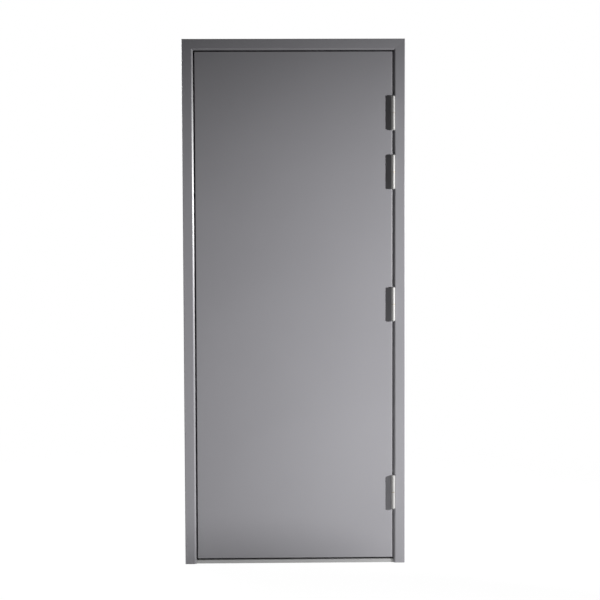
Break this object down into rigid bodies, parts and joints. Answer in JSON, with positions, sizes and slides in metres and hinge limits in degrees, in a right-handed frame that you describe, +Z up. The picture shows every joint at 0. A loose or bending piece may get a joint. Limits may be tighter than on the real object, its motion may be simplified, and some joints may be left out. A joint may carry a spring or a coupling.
{
  "type": "steel utility door with frame",
  "caption": "Flush steel door leaf in a pressed-steel rebated frame with a steel threshold, swinging on lift-off knuckle hinges, with wall anchors in the open back of the jambs.",
  "frame": {"origin": "on the floor, in the middle of the threshold's underside, half-way through the frame's depth", "axes": "+X along the wall, to the right when the hinge side is seen; +Y through the wall, away from the side the leaf opens to; +Z up"},
  "size_m": [0.88, 0.127, 2.09],
  "materials": {
    "frame_paint": "satin grey paint",
    "leaf_paint": "satin grey paint",
    "hinge_steel": "satin stainless",
    "sill_steel": "brushed stainless",
    "washer_brass": "plain",
    "seal_rubber": "matt black",
    "backer_steel": "plain rolled steel",
    "anchor_zinc": "zinc plated"
  },
  "bodies": {
    "frame": {"strike_jamb": "frame_paint", "hinge_jamb": "frame_paint", "head": "frame_paint", "threshold": "sill_steel", "strike_seal": "seal_rubber", "hinge_seal": "seal_rubber", "head_seal": "seal_rubber", "sill_seal": "seal_rubber", "first_hinge_frame_plate": "hinge_steel", "first_frame_backer": "backer_steel", "strike_anchor_first": "anchor_zinc", "hinge_anchor_first": "anchor_zinc", "second_hinge_frame_plate": "hinge_steel", "second_frame_backer": "backer_steel", "strike_anchor_second": "anchor_zinc", "hinge_anchor_second": "anchor_zinc", "third_hinge_frame_plate": "hinge_steel", "third_frame_backer": "backer_steel", "strike_anchor_third": "anchor_zinc", "hinge_anchor_third": "anchor_zinc", "fourth_hinge_frame_plate": "hinge_steel", "fourth_frame_backer": "backer_steel", "strike_anchor_fourth": "anchor_zinc", "hinge_anchor_fourth": "anchor_zinc", "hinge_pins": "hinge_steel", "hinge_washers": "washer_brass"},
    "leaf": {"leaf_front_pan": "leaf_paint", "leaf_back_pan": "leaf_paint", "first_hinge_leaf_plate": "hinge_steel", "first_leaf_backer": "backer_steel", "second_hinge_leaf_plate": "hinge_steel", "second_leaf_backer": "backer_steel", "third_hinge_leaf_plate": "hinge_steel", "third_leaf_backer": "backer_steel", "fourth_hinge_leaf_plate": "hinge_steel", "fourth_leaf_backer": "backer_steel"}
  },
  "joints": [
    {"name": "leaf_swing", "type": "hinge", "parent": "frame", "child": "leaf", "pos_m": [0.39275, -0.064, 1.042], "axis": [0, 0, 1], "range_deg": [0, 180]}
  ]
}
